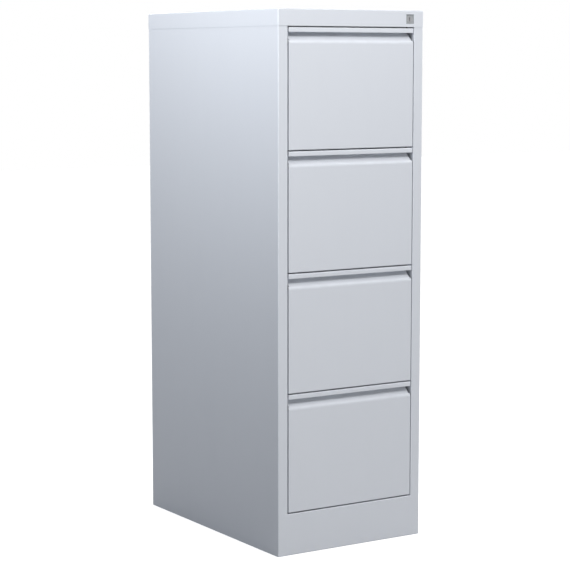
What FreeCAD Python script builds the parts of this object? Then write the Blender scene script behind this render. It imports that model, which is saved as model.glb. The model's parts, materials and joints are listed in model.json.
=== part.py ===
import FreeCAD, Part
import math
import os

from FreeCAD import Vector

# Four-drawer steel filing cabinet with flush, folded drawer fronts and one lock for all drawers.
#
# Millimetres. X points to the right of a person facing the drawers, Y from the front to the
# back, Z up. The origin is on the floor under the middle of the cabinet.
# Drawer 1 is at the top. Right-hand pieces are modelled and mirrored to make left-hand ones.

# ---- Overall sizes --------------------------------------------------------------------------
cabinet_width = 413.0
cabinet_depth = 622.0
cabinet_height = 1284.0
drawer_count = 4

# ---- Sheet thicknesses and bends (a bend radius is measured to the middle of the sheet) ------
carcass_sheet = 0.8
cover_sheet = 0.8
drawer_sheet = 0.8
post_sheet = 1.2
rail_sheet = 1.2
tight_bend = 1.0
corner_bend = 1.6
hem_bend = 0.9
hem_return = 8.0

# ---- Top cover -------------------------------------------------------------------------------
cover_skirt = 39.4
cover_edge_radius = 2.5

# ---- Side panels -----------------------------------------------------------------------------
stile_width = 26.1
stile_depth = 28.0
stile_lip = 16.0
rear_flange = 22.0
foot_flange = 20.0
side_to_cover = 2.0

# ---- Plinth and base -------------------------------------------------------------------------
plinth_height = 100.4
plinth_flange = 20.0
base_drop = 4.0
base_flange = 22.0
base_end_gap = 1.2

# ---- Posts that carry the rails --------------------------------------------------------------
post_width = 40.0
post_proud = 1.2
front_post_setback = 42.2
rear_post_setback = 40.2
post_to_cover = 10.0

# ---- Cross rails between the front posts -----------------------------------------------------
cross_rail_height = 20.0
cross_rail_depth = 26.0
cross_rail_setback = 2.0
cross_rail_rise = 4.0

# ---- Drawer fronts ---------------------------------------------------------------------------
drawer_gap = 2.8
lip_height = 11.4
lip_edge_bend = 2.4
grip_depth = 26.0
grip_back_height = 7.3
ridge_bend = 10.0
grip_end_gap = 3.0
grip_end_start = 3.2
front_flange = 17.0
liner_side_gap = 0.3
liner_foot_gap = 2.0
liner_to_grip = 4.0

# ---- Drawer trays ----------------------------------------------------------------------------
tray_lift = 8.0
tray_drop = 29.0
tray_to_rear = 45.2
back_drop = 14.0
back_flange = 12.0

# ---- Telescopic slides -----------------------------------------------------------------------
slide_thickness = 13.0
slide_half_height = 22.5
slide_rise = 120.0
ball_gap = 3.0
web_gap = 1.8
slide_flange_clear = 2.8
inner_flange_clear = 1.6
fixed_rail_setback = 35.2
middle_rail_front_inset = 3.0
middle_rail_rear_inset = 17.0
drawer_rail_front_inset = 4.4
drawer_rail_rear_inset = 3.0

# ---- Rubber stops in the rear ends of the fixed rails ----------------------------------------
stop_gap = 0.4
stop_length = 9.0
stop_half_height = 9.0
stop_tray_clear = 1.6
stop_chamfer = 1.5

# ---- Rivets that hold the fixed rails to the posts -------------------------------------------
rivet_radius = 2.0
rivet_hole_clear = 0.05
rivet_head_radius = 3.5
rivet_head_height = 0.9
rivet_tail_radius = 3.0
rivet_tail_height = 0.8

# ---- Lock ------------------------------------------------------------------------------------
lock_hole = 23.0
lock_edge_inset = 1.3
lock_rise = 18.4
lock_frame = 1.0
lock_plate = 1.8
lock_plate_margin = 2.6
lock_plate_gap = 0.3
lock_block_depth = 5.0
lock_barrel_radius = 8.0
lock_running_clear = 0.05
lock_body_wall = 2.5
lock_body_length = 18.0
lock_barrel_proud = 0.6
lock_barrel_length = 27.0
keyway_width = 1.8
keyway_height = 9.0
keyway_depth = 14.0
cam_sheet = 2.0
cam_hub_radius = 7.0
cam_end_radius = 3.8
cam_pin_radius = 2.0
cam_pin_length = 9.0
cam_screw_head_radius = 3.2
cam_screw_head_height = 2.4
cam_screw_radius = 2.0
cam_screw_length = 10.0
cam_screw_slot = 1.0
cam_screw_clear = 0.05

# ---- Locking bar, its head, hooks and guides, and the drawer catches -------------------------
bar_lift = 12.0
bar_sheet = 2.0
bar_width = 18.0
bar_overlap = 12.0
bar_side_gap = 2.0
bar_setback = 6.2
bar_foot = 20.0
bar_head_half_height = 6.0
bar_slot_clear = 0.6
bar_slot_wall = 2.4
catch_rise = 198.0
catch_height = 10.0
catch_reach = 10.6
catch_gap = 1.5
hook_clear = 2.0
hook_tray_clear = 2.6
guide_rise = 40.0
guide_half_height = 8.0
guide_wall = 1.6
guide_slot_clear = 0.4

# ---- Planes and lines worked out from the sizes above ----------------------------------------
side_face = cabinet_width / 2 - cover_sheet
front_face = cover_sheet - cabinet_depth / 2
rear_face = cabinet_depth / 2 - cover_sheet
opening_half = side_face - stile_width
opening_top = cabinet_height - cover_skirt
side_top = cabinet_height - cover_sheet - side_to_cover
side_inner = side_face - carcass_sheet
panel_rear = rear_face - carcass_sheet
panel_front = panel_rear - carcass_sheet
base_top = plinth_height - carcass_sheet - base_drop

front_height = (opening_top - plinth_height - (drawer_count + 1) * drawer_gap) / drawer_count
front_half = opening_half - drawer_gap
drawer_pitch = front_height + drawer_gap
grip_drop = grip_depth + grip_back_height

post_face = opening_half - post_proud
post_top = cabinet_height - cover_sheet - post_to_cover
front_post_start = front_face + front_post_setback
rear_post_end = rear_face - rear_post_setback

tray_half = post_face - slide_thickness
tray_start = front_face + front_flange + drawer_sheet
tray_end = rear_face - tray_to_rear

fixed_rail_start = front_face + fixed_rail_setback
fixed_rail_end = rear_face - fixed_rail_setback

lock_x = opening_half - lock_edge_inset - lock_hole / 2
lock_z = opening_top + lock_rise
lock_plate_back = front_face + lock_plate
barrel_front = lock_plate_back - lock_barrel_proud
barrel_back = barrel_front + lock_barrel_length
cam_back = barrel_back + cam_sheet
cam_pin_throw = bar_lift / math.sqrt(2)

bar_start = front_face + stile_depth + bar_setback
bar_back = bar_start + bar_sheet
bar_left = opening_half + bar_side_gap
bar_right = bar_left + bar_width
hook_back = bar_back + bar_sheet


def drawer_numbers():
    return range(1, drawer_count + 1)


def front_bottom(number):
    """Height of the lower edge of one drawer front."""
    return plinth_height + drawer_gap + (drawer_count - number) * drawer_pitch


def front_top(number):
    return front_bottom(number) + front_height


def slide_height(number):
    return front_bottom(number) + slide_rise


# ---- Ways of making a shape ------------------------------------------------------------------
same_point = 1e-6
cut_margin = 1.0


def block(x_span, y_span, z_span):
    """A box from three (low, high) pairs."""
    size = [high - low for low, high in (x_span, y_span, z_span)]
    return Part.makeBox(*size, Vector(x_span[0], y_span[0], z_span[0]))


def rod(radius, start, direction, length):
    return Part.makeCylinder(radius, length, start, direction)


def bend_points(before, corner, after, radius, half_sheet):
    """The two sides of one bend: for each, the arc's start, middle and end."""
    into = (corner - before).normalize()
    out = (after - corner).normalize()
    turn = math.atan2(into.x * out.y - into.y * out.x, into.dot(out))
    tangent = radius * math.tan(abs(turn) / 2)
    start = corner - into * tangent
    end = corner + out * tangent
    inward = math.copysign(1, turn)
    centre = start + Vector(-into.y, into.x, 0) * radius * inward
    sides = []
    for side in (1, -1):
        reach = radius - half_sheet * side * inward
        middle = centre + (corner - centre).normalize() * reach
        arc_start = start + Vector(-into.y, into.x, 0) * half_sheet * side
        arc_end = end + Vector(-out.y, out.x, 0) * half_sheet * side
        sides.append((arc_start, middle, arc_end))
    return sides


def section_outline(path, sheet, bends):
    """Edges round a strip of sheet whose middle follows path, with one bend radius per corner."""
    points = [Vector(along, across, 0) for along, across in path]
    half_sheet = sheet / 2
    ends = []
    for tip, neighbour in ((points[0], points[1]), (points[-1], points[-2])):
        away = (tip - neighbour).normalize()
        ends.append(Vector(-away.y, away.x, 0) * half_sheet)
    left = [("point", points[0] - ends[0])]
    right = [("point", points[0] + ends[0])]
    for index, radius in enumerate(bends, start=1):
        sides = bend_points(points[index - 1], points[index], points[index + 1], radius, half_sheet)
        left.append(("arc", sides[0]))
        right.append(("arc", sides[1]))
    left.append(("point", points[-1] + ends[1]))
    right.append(("point", points[-1] - ends[1]))
    right = [(kind, item if kind == "point" else item[::-1]) for kind, item in reversed(right)]

    edges = []
    here = left[0][1]
    for kind, item in left[1:] + right + left[:1]:
        target = item if kind == "point" else item[0]
        if here.distanceToPoint(target) > same_point:
            edges.append(Part.LineSegment(here, target).toShape())
        here = target
        if kind == "arc":
            edges.append(Part.Arc(*item).toShape())
            here = item[2]
    return edges


def folded_sheet(plane, path, sheet, bends, span):
    """Sheet folded along path in a plane, as long as span across that plane."""
    if isinstance(bends, float):
        bends = [bends] * (len(path) - 2)
    face = Part.Face(Part.Wire(section_outline(path, sheet, bends)))
    turns = {
        "XY": FreeCAD.Rotation(),
        "YZ": FreeCAD.Rotation(Vector(0, 1, 0), Vector(0, 0, 1), Vector(1, 0, 0), "ZXY"),
        "XZ": FreeCAD.Rotation(Vector(1, 0, 0), Vector(0, 0, 1), Vector(0, -1, 0), "ZXY"),
    }
    face.Placement = FreeCAD.Placement(Vector(), turns[plane])
    normal = {"XY": Vector(0, 0, 1), "YZ": Vector(1, 0, 0), "XZ": Vector(0, 1, 0)}[plane]
    face.translate(normal * span[0])
    return face.extrude(normal * (span[1] - span[0]))


def mirrored(shape):
    """The left-hand copy of a right-hand piece."""
    return shape.mirror(Vector(0, 0, 0), Vector(1, 0, 0))


def joined(shapes):
    first, *others = shapes
    return first.fuse(others).removeSplitter()


# ---- Carcass ---------------------------------------------------------------------------------
def side_panel():
    """Side, front stile, rear flange and foot flange, folded from one sheet."""
    half = carcass_sheet / 2
    stile_path = [
        (side_face - rear_flange, rear_face - half),
        (side_face - half, rear_face - half),
        (side_face - half, front_face + half),
    ]
    upper_path = stile_path + [
        (opening_half + half, front_face + half),
        (opening_half + half, front_face + stile_depth - half),
        (opening_half + stile_lip, front_face + stile_depth - half),
    ]
    lower_path = stile_path + [(opening_half, front_face + half)]
    upper = folded_sheet(
        "XY", upper_path, carcass_sheet, [corner_bend, corner_bend, tight_bend, tight_bend],
        (plinth_height, side_top),
    )
    lower = folded_sheet("XY", lower_path, carcass_sheet, corner_bend, (0, plinth_height))
    foot = block(
        (side_face - foot_flange, side_inner),
        (front_face + foot_flange, panel_front),
        (0, carcass_sheet),
    )
    return joined([upper, lower, foot])


def back_panel():
    """Flat sheet that lies against the side panels' rear flanges, clear of their bends."""
    reach = side_inner - corner_bend
    return block((-reach, reach), (panel_front, panel_rear), (0, side_top))


def top_cover():
    """Shallow cap over the carcass, with a square hole for the lock in its front skirt."""
    def cap(inset, radius, bottom):
        half_width = cabinet_width / 2 - inset
        half_depth = cabinet_depth / 2 - inset
        solid = block((-half_width, half_width), (-half_depth, half_depth), (bottom, cabinet_height - inset))
        rounded = [edge for edge in solid.Edges if edge.CenterOfMass.z > bottom + same_point]
        return solid.makeFillet(radius, rounded)

    skin = cap(0, cover_edge_radius, opening_top)
    hollow = cap(cover_sheet, cover_edge_radius - cover_sheet, opening_top - cover_skirt)
    reach = lock_hole / 2
    hole = block(
        (lock_x - reach, lock_x + reach),
        (front_face - cover_sheet - cut_margin, front_face + cut_margin),
        (lock_z - reach, lock_z + reach),
    )
    return skin.cut(hollow).cut(hole)


def plinth():
    half = carcass_sheet / 2
    path = [
        (front_face + plinth_flange, half),
        (front_face + half, half),
        (front_face + half, plinth_height - half),
        (front_face + plinth_flange, plinth_height - half),
    ]
    return folded_sheet("YZ", path, carcass_sheet, corner_bend, (-opening_half, opening_half))


def base_panel():
    half = carcass_sheet / 2
    path = [
        (-side_inner + half, base_top - base_flange),
        (-side_inner + half, base_top - half),
        (side_inner - half, base_top - half),
        (side_inner - half, base_top - base_flange),
    ]
    span = (front_face + carcass_sheet + base_end_gap, panel_front - base_end_gap)
    return folded_sheet("XZ", path, carcass_sheet, tight_bend, span)


def rivet_hole(y, z):
    """Hole through a post and a fixed rail, for one rivet."""
    start = Vector(post_face - slide_thickness, y, z)
    return rod(rivet_radius + rivet_hole_clear, start, Vector(1, 0, 0), 2 * slide_thickness)


def post_middle(start):
    return start + post_width / 2


def post(start):
    """Channel that stands on the base with its web towards the drawers."""
    half = post_sheet / 2
    path = [
        (side_inner, start + half),
        (post_face + half, start + half),
        (post_face + half, start + post_width - half),
        (side_inner, start + post_width - half),
    ]
    channel = folded_sheet("XY", path, post_sheet, corner_bend, (base_top, post_top))
    holes = [rivet_hole(post_middle(start), slide_height(number)) for number in drawer_numbers()]
    return channel.cut(holes)


def cross_rail(number):
    """Channel between the front posts, behind the gap above one drawer."""
    half = post_sheet / 2
    start = front_post_start + cross_rail_setback
    top = front_top(number) + drawer_gap / 2 + cross_rail_rise
    bottom = top - cross_rail_height
    path = [
        (start + cross_rail_depth, top - half),
        (start + half, top - half),
        (start + half, bottom + half),
        (start + cross_rail_depth, bottom + half),
    ]
    return folded_sheet("YZ", path, post_sheet, corner_bend, (-post_face, post_face))


# ---- Slides ----------------------------------------------------------------------------------
def slide_channel(web_face, flange_end, half_height, number, span):
    """One member of a slide. web_face is its web's side away from its flanges."""
    half = math.copysign(rail_sheet / 2, flange_end - web_face)
    web = web_face + half
    reach = half_height - rail_sheet / 2
    centre = slide_height(number)
    path = [
        (flange_end, centre + reach),
        (web, centre + reach),
        (web, centre - reach),
        (flange_end, centre - reach),
    ]
    return folded_sheet("XZ", path, rail_sheet, tight_bend, span)


def fixed_rail(number):
    rail = slide_channel(
        post_face, tray_half + slide_flange_clear, slide_half_height, number,
        (fixed_rail_start, fixed_rail_end),
    )
    posts = (front_post_start, rear_post_end - post_width)
    return rail.cut([rivet_hole(post_middle(start), slide_height(number)) for start in posts])


def middle_rail(number):
    web_face = post_face - rail_sheet - web_gap
    half_height = slide_half_height - rail_sheet - ball_gap
    span = (fixed_rail_start + middle_rail_front_inset, fixed_rail_end - middle_rail_rear_inset)
    return slide_channel(web_face, tray_half + slide_flange_clear, half_height, number, span)


def drawer_rail(number):
    middle_inner = post_face - 2 * rail_sheet - web_gap
    half_height = slide_half_height - 2 * (rail_sheet + ball_gap)
    span = (tray_start + drawer_rail_front_inset, tray_end - drawer_rail_rear_inset)
    return slide_channel(tray_half, middle_inner - inner_flange_clear, half_height, number, span)


def slide_stop(number):
    """Rubber block that the rear end of a drawer rail rests against when the drawer is shut."""
    start = tray_end - drawer_rail_rear_inset + stop_gap
    centre = slide_height(number)
    stop = block(
        (tray_half + stop_tray_clear, post_face - rail_sheet),
        (start, start + stop_length),
        (centre - stop_half_height, centre + stop_half_height),
    )
    nose_face = tray_half + stop_tray_clear
    nose = [edge for edge in stop.Edges if edge.CenterOfMass.x < nose_face + same_point]
    return stop.makeChamfer(stop_chamfer, nose)


def rivet(y, z):
    """Rivet through a fixed rail and its post, headed on the rail's side."""
    across = Vector(1, 0, 0)
    rail_inner = post_face - rail_sheet
    post_outer = post_face + post_sheet
    head = rod(rivet_head_radius, Vector(rail_inner - rivet_head_height, y, z), across, rivet_head_height)
    shank = rod(rivet_radius, Vector(rail_inner, y, z), across, post_outer - rail_inner)
    tail = rod(rivet_tail_radius, Vector(post_outer, y, z), across, rivet_tail_height)
    return joined([head, shank, tail])


def rail_rivets():
    solids = []
    for number in drawer_numbers():
        for start in (front_post_start, rear_post_end - post_width):
            right = rivet(post_middle(start), slide_height(number))
            solids += [right, mirrored(right)]
    return Part.makeCompound(solids)


def slide_stops():
    rights = [slide_stop(number) for number in drawer_numbers()]
    return Part.makeCompound(rights + [mirrored(stop) for stop in rights])


# ---- Drawers ---------------------------------------------------------------------------------
def ridge_start(number):
    """Height where the flat face of a drawer front starts to bend back into its 45 degree slope."""
    half_turn = math.pi / 8
    return front_top(number) - grip_drop - ridge_bend * math.tan(half_turn)


def drawer_front(number):
    """Lip, finger grip, ridge and face in one folded sheet, with a flange down each side."""
    half = drawer_sheet / 2
    bottom = front_bottom(number)
    top = front_top(number)
    ridge = top - grip_drop
    face = front_face + half
    grip_back = front_face + grip_depth
    path = [
        (face + 2 * hem_bend, top - lip_height + hem_return),
        (face + 2 * hem_bend, top - lip_height + half),
        (face, top - lip_height + half),
        (face, top - half),
        (grip_back, top - half),
        (grip_back, ridge + grip_back - face),
        (face, ridge),
        (face, bottom + half),
        (front_face + front_flange, bottom + half),
    ]
    bends = [hem_bend, hem_bend, lip_edge_bend, corner_bend, corner_bend, ridge_bend, corner_bend]
    skin = folded_sheet("YZ", path, drawer_sheet, bends, (-front_half, front_half))
    for side in (-1, 1):
        notch = block(
            sorted((side * (front_half - grip_end_gap), side * (front_half + cut_margin))),
            (front_face + grip_end_start, grip_back + cut_margin),
            (ridge, top + cut_margin),
        )
        skin = skin.cut(notch)
    flanges = [
        block(
            sorted((side * (front_half - drawer_sheet), side * front_half)),
            (front_face + half, front_face + front_flange),
            (bottom, ridge_start(number)),
        )
        for side in (-1, 1)
    ]
    return joined([skin] + flanges)


def drawer_liner(number):
    """Flat inner panel that closes the back of the drawer front."""
    reach = front_half - drawer_sheet - liner_side_gap
    start = front_face + front_flange
    top = front_top(number) - grip_drop + front_flange - liner_to_grip
    bottom = front_bottom(number) + liner_foot_gap
    return block((-reach, reach), (start, start + drawer_sheet), (bottom, top))


def catch_heights(number):
    low = front_bottom(number) + catch_rise
    return low, low + catch_height


def drawer_tray(number):
    """Floor and sides. Each side's top edge is hemmed to carry the hooks of suspension files."""
    half = drawer_sheet / 2
    wall = tray_half - half
    floor = front_bottom(number) + tray_lift + half
    rim = front_top(number) - tray_drop - half
    hem = wall - 2 * hem_bend
    side_path = [(hem, rim - hem_return), (hem, rim), (wall, rim), (wall, floor)]
    path = [(-x, z) for x, z in side_path] + side_path[::-1]
    bends = [hem_bend, hem_bend, corner_bend]
    tray = folded_sheet("XZ", path, drawer_sheet, bends + bends[::-1], (tray_start, tray_end))
    catch_start = hook_back + catch_gap
    catch = block(
        (wall, tray_half + catch_reach),
        (catch_start, catch_start + drawer_sheet),
        catch_heights(number),
    )
    window = block(
        (wall - cut_margin, tray_half + cut_margin),
        (catch_start + drawer_sheet, catch_start + catch_reach),
        catch_heights(number),
    )
    return joined([tray.cut(window), catch])


def drawer_back(number):
    """Rear wall, folded forwards at its foot and backwards at its top, clear of the tray's bends."""
    half = drawer_sheet / 2
    foot = front_bottom(number) + tray_lift + drawer_sheet + half
    top = front_top(number) - tray_drop - back_drop - half
    rear = tray_end - half
    path = [
        (rear - back_flange, foot),
        (rear, foot),
        (rear, top),
        (rear + back_flange, top),
    ]
    reach = tray_half - drawer_sheet - corner_bend
    return folded_sheet("YZ", path, drawer_sheet, tight_bend, (-reach, reach))


# ---- Lock ------------------------------------------------------------------------------------
def lock_housing():
    """Moulded square seat for the barrel, held behind the cover's front skirt."""
    into = Vector(0, 1, 0)
    reach = lock_hole / 2 + lock_plate_margin
    pocket = lock_hole / 2 - lock_frame
    plate = block(
        (lock_x - reach, opening_half - lock_plate_gap),
        (front_face, lock_plate_back),
        (lock_z - reach, lock_z + reach),
    )
    seat = block(
        (lock_x - pocket, lock_x + pocket),
        (front_face, lock_plate_back),
        (lock_z - pocket, lock_z + pocket),
    )
    body_back = lock_plate_back + lock_block_depth
    body = block(
        (lock_x - lock_hole / 2, lock_x + lock_hole / 2),
        (lock_plate_back, body_back),
        (lock_z - lock_hole / 2, lock_z + lock_hole / 2),
    )
    bore_radius = lock_barrel_radius + lock_running_clear
    neck = rod(bore_radius + lock_body_wall, Vector(lock_x, body_back, lock_z), into, lock_body_length)
    bore_length = lock_plate + lock_block_depth + lock_body_length
    bore = rod(bore_radius, Vector(lock_x, front_face, lock_z), into, bore_length)
    return joined([plate.cut(seat), body, neck]).cut(bore)


def lock_barrel():
    """Turning cylinder with its keyway upright, as it stands when the drawers are free."""
    into = Vector(0, 1, 0)
    barrel = rod(lock_barrel_radius, Vector(lock_x, barrel_front, lock_z), into, lock_barrel_length)
    keyway = block(
        (lock_x - keyway_width / 2, lock_x + keyway_width / 2),
        (barrel_front, barrel_front + keyway_depth),
        (lock_z - keyway_height / 2, lock_z + keyway_height / 2),
    )
    thread = rod(
        cam_screw_radius + cam_screw_clear,
        Vector(lock_x, barrel_back - cam_screw_length, lock_z), into, cam_screw_length,
    )
    return barrel.cut(keyway).cut(thread)


def pin_place():
    """Place of the cam's pin across the lock, with the drawers free: low, on the bar's side."""
    reach = cam_pin_throw * math.sqrt(0.5)
    return lock_x + reach, lock_z - reach


def lock_cam():
    into = Vector(0, 1, 0)
    pin_x, pin_z = pin_place()
    hub = rod(cam_hub_radius, Vector(lock_x, barrel_back, lock_z), into, cam_sheet)
    end = rod(cam_end_radius, Vector(pin_x, barrel_back, pin_z), into, cam_sheet)
    pin = rod(cam_pin_radius, Vector(pin_x, cam_back, pin_z), into, cam_pin_length)
    hole = rod(cam_screw_radius + cam_screw_clear, Vector(lock_x, barrel_back, lock_z), into, cam_sheet)
    return joined([hub, end, pin]).cut(hole)


def cam_screw():
    into = Vector(0, 1, 0)
    head = rod(cam_screw_head_radius, Vector(lock_x, cam_back, lock_z), into, cam_screw_head_height)
    length = cam_screw_length + cam_sheet
    shank = rod(cam_screw_radius, Vector(lock_x, cam_back - length, lock_z), into, length)
    slot = block(
        (lock_x - cam_screw_head_radius, lock_x + cam_screw_head_radius),
        (cam_back + cam_screw_head_height / 2, cam_back + cam_screw_head_height),
        (lock_z - cam_screw_slot / 2, lock_z + cam_screw_slot / 2),
    )
    return joined([head, shank]).cut(slot)


def locking_bar():
    """Upright strip behind the right stile, lifted and lowered by the lock."""
    top = pin_place()[1] + bar_head_half_height
    return block((bar_left, bar_right), (bar_start, bar_back), (base_top + bar_foot, top))


def bar_head():
    """Plate on the back of the bar, with a level slot that the cam's pin runs in."""
    pin_x, pin_z = pin_place()
    slot_half_height = cam_pin_radius + bar_slot_clear
    slot_left = pin_x - slot_half_height
    slot_right = lock_x + cam_pin_throw + slot_half_height
    y_span = (bar_back, hook_back)
    plate = block(
        (slot_left - bar_slot_wall, bar_left + bar_overlap),
        y_span,
        (pin_z - bar_head_half_height, pin_z + bar_head_half_height),
    )
    return plate.cut(block((slot_left, slot_right), y_span, (pin_z - slot_half_height, pin_z + slot_half_height)))


def bar_hook(number):
    """Plate on the back of the bar, as tall as the lift, just under one drawer's catch."""
    top = catch_heights(number)[0] - hook_clear
    return block(
        (tray_half + hook_tray_clear, bar_left + bar_overlap),
        (bar_back, hook_back),
        (top - bar_lift, top),
    )


def bar_guide(number):
    """Nylon block on the front post, slotted for the locking bar."""
    low = front_bottom(number) + guide_rise - guide_half_height
    height = (low, low + 2 * guide_half_height)
    clear = guide_slot_clear
    slot_x = (bar_left - clear, bar_right + clear)
    slot_y = (bar_start - clear, bar_back + clear)
    outer = block(
        (slot_x[0] - guide_wall, slot_x[1] + guide_wall),
        (slot_y[0] - guide_wall, front_post_start),
        height,
    )
    return outer.cut(block(slot_x, slot_y, height))


# ---- Every piece, by name --------------------------------------------------------------------
def pieces():
    made = {
        "back_panel": back_panel(),
        "top_cover": top_cover(),
        "plinth": plinth(),
        "base_panel": base_panel(),
        "cross_rails": Part.makeCompound([cross_rail(number) for number in drawer_numbers()]),
        "rail_rivets": rail_rivets(),
        "slide_stops": slide_stops(),
        "lock_housing": lock_housing(),
        "lock_barrel": lock_barrel(),
        "lock_cam": lock_cam(),
        "cam_screw": cam_screw(),
        "locking_bar": locking_bar(),
        "bar_head": bar_head(),
        "bar_hooks": Part.makeCompound([bar_hook(number) for number in drawer_numbers()]),
        "bar_guides": Part.makeCompound([bar_guide(number) for number in drawer_numbers()]),
    }
    for name, start in (("front_posts", front_post_start), ("rear_posts", rear_post_end - post_width)):
        right = post(start)
        made[name] = Part.makeCompound([right, mirrored(right)])
    pairs = {"side_panel": side_panel()}
    for number in drawer_numbers():
        made[f"drawer_{number}_front"] = drawer_front(number)
        made[f"drawer_{number}_liner"] = drawer_liner(number)
        made[f"drawer_{number}_tray"] = drawer_tray(number)
        made[f"drawer_{number}_back"] = drawer_back(number)
        pairs[f"drawer_{number}_rail"] = drawer_rail(number)
        pairs[f"middle_rail_{number}"] = middle_rail(number)
        pairs[f"fixed_rail_{number}"] = fixed_rail(number)
    for name, right in pairs.items():
        made[f"{name}_right"] = right
        made[f"{name}_left"] = mirrored(right)
    return made


os.makedirs("parts", exist_ok=True)
for name, shape in pieces().items():
    shape.exportStep(os.path.join("parts", f"{name}.step"))
    print(f"{name}: {len(shape.Solids)} solid(s), {shape.Volume / 1000:.1f} cm3, valid {shape.isValid()}")
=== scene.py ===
"""Visual model of a steel filing cabinet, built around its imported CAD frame."""

import json
import logging
import math
from collections.abc import Callable, Iterable, Sequence
from dataclasses import dataclass, field
from enum import Enum

import bpy
from mathutils import Euler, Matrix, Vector


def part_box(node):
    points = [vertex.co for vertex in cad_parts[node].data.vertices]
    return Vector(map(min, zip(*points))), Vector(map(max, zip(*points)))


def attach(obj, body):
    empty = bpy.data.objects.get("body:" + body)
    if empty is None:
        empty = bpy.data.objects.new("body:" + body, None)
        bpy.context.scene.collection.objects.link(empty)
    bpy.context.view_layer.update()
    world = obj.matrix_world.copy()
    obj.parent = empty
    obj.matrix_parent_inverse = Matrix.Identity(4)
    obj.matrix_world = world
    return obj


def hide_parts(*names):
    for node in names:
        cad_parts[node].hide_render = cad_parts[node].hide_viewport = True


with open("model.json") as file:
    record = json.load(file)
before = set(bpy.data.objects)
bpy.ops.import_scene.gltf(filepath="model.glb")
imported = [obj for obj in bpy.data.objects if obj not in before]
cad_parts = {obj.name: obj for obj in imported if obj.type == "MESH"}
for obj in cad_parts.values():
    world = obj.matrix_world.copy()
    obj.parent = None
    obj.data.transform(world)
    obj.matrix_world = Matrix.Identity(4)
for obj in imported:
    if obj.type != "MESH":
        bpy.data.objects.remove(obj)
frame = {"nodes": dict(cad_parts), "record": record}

LOG = logging.getLogger("filing_cabinet")
MM = 0.001
# Corner attribute marking bends and cut edges: edge wear, and on the paint a painted highlight
# along the bends.
WEAR = "wear"
EASED_EDGE = 0.2 * MM
EASED_EDGE_FLATS = 2
SHARP_ANGLE = math.radians(40)
RIGHT_ANGLE = math.radians(90)
RIDGE_TURN = math.radians(45)
DRAWERS = range(1, 5)
Grid = list[list[Vector]]
Cell = tuple[int, int]


def place_in_scene(name: str, data: bpy.types.ID) -> bpy.types.Object:
    """Makes an object from a mesh, light or camera and links it to the scene."""
    made = bpy.data.objects.new(name, data)
    bpy.context.scene.collection.objects.link(made)
    return made


# ---- Mesh drafting ----
def facing_of(points: Sequence[Vector]) -> Vector:
    """Area-weighted normal of a polygon.

    Args:
        points: the polygon's corners in order.

    Returns:
        The normal, as long as twice the polygon's area.
    """
    total = Vector((0.0, 0.0, 0.0))
    for here, there in zip(points, [*points[1:], points[0]]):
        total += here.cross(there)
    return total


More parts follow.
